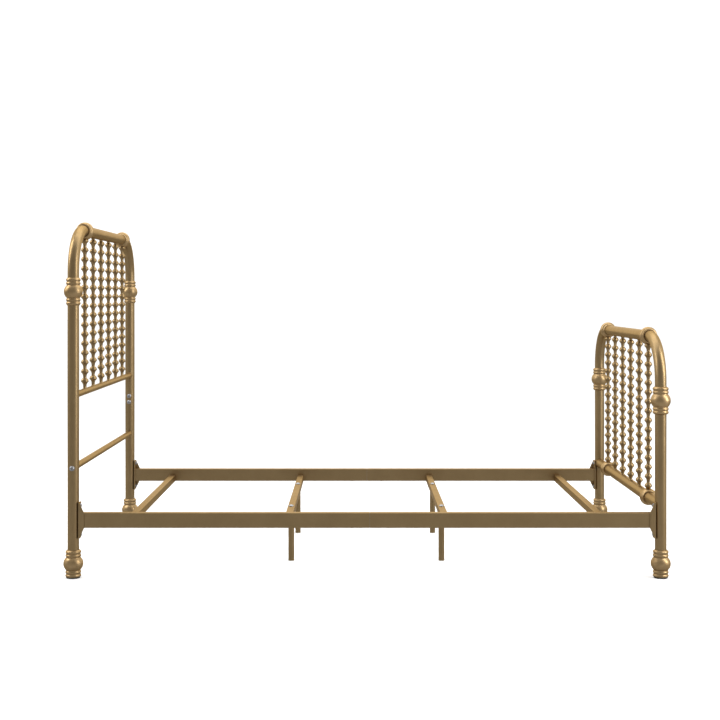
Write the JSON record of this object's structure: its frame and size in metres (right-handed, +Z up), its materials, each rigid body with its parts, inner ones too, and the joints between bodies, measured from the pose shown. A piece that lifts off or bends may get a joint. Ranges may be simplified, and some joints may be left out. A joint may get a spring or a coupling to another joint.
{
  "type": "bed frame",
  "caption": "Single metal bed frame with a tall headboard and a lower footboard of bent tube and beaded spindles, bolted side rails, cross slats and support legs.",
  "frame": {"origin": "on the floor, under the middle of the bed", "axes": "+X from the headboard to the footboard, +Y to the left of a person lying in the bed, +Z up"},
  "size_m": [2.0206, 1.0816, 1.1924],
  "materials": {
    "gold_finish": "antique gold, satin",
    "zinc": "bright zinc plating",
    "black_pad": "matt black",
    "pale_glide": "natural nylon"
  },
  "bodies": {
    "root": {"cross_slat_1": "gold_finish", "cross_slat_2": "gold_finish", "cross_slat_3": "gold_finish", "cross_slat_4": "gold_finish", "floor_pads": "black_pad", "footboard_bottom_rail": "gold_finish", "footboard_bottom_rail_balls": "gold_finish", "footboard_foot_left": "gold_finish", "footboard_foot_right": "gold_finish", "footboard_post_left": "gold_finish", "footboard_post_ornament_left": "gold_finish", "footboard_post_ornament_right": "gold_finish", "footboard_post_right": "gold_finish", "footboard_spindle_1": "gold_finish", "footboard_spindle_2": "gold_finish", "footboard_spindle_3": "gold_finish", "footboard_spindle_4": "gold_finish", "footboard_spindle_5": "gold_finish", "footboard_spindle_6": "gold_finish", "footboard_top_collar_left": "gold_finish", "footboard_top_collar_right": "gold_finish", "footboard_top_rail": "gold_finish", "headboard_foot_left": "gold_finish", "headboard_foot_right": "gold_finish", "headboard_lower_rail": "gold_finish", "headboard_lower_rail_bolts": "zinc", "headboard_middle_rail": "gold_finish", "headboard_post_bolts": "zinc", "headboard_post_left": "gold_finish", "headboard_post_ornament_left": "gold_finish", "headboard_post_ornament_right": "gold_finish", "headboard_post_right": "gold_finish", "headboard_spindle_1": "gold_finish", "headboard_spindle_2": "gold_finish", "headboard_spindle_3": "gold_finish", "headboard_spindle_4": "gold_finish", "headboard_spindle_5": "gold_finish", "headboard_spindle_6": "gold_finish", "headboard_top_collar_left": "gold_finish", "headboard_top_collar_right": "gold_finish", "headboard_top_rail": "gold_finish", "leg_bolts": "zinc", "leg_glides": "pale_glide", "rail_bolts": "zinc", "rail_bracket_foot_left": "gold_finish", "rail_bracket_foot_right": "gold_finish", "rail_bracket_head_left": "gold_finish", "rail_bracket_head_right": "gold_finish", "rail_joiner_left": "zinc", "rail_joiner_right": "zinc", "rail_joiner_screws": "zinc", "side_rail_foot_left": "gold_finish", "side_rail_foot_right": "gold_finish", "side_rail_head_left": "gold_finish", "side_rail_head_right": "gold_finish", "slat_hooks": "zinc", "support_leg_1": "gold_finish", "support_leg_2": "gold_finish", "support_leg_3": "gold_finish", "support_leg_4": "gold_finish"}
  },
  "joints": []
}
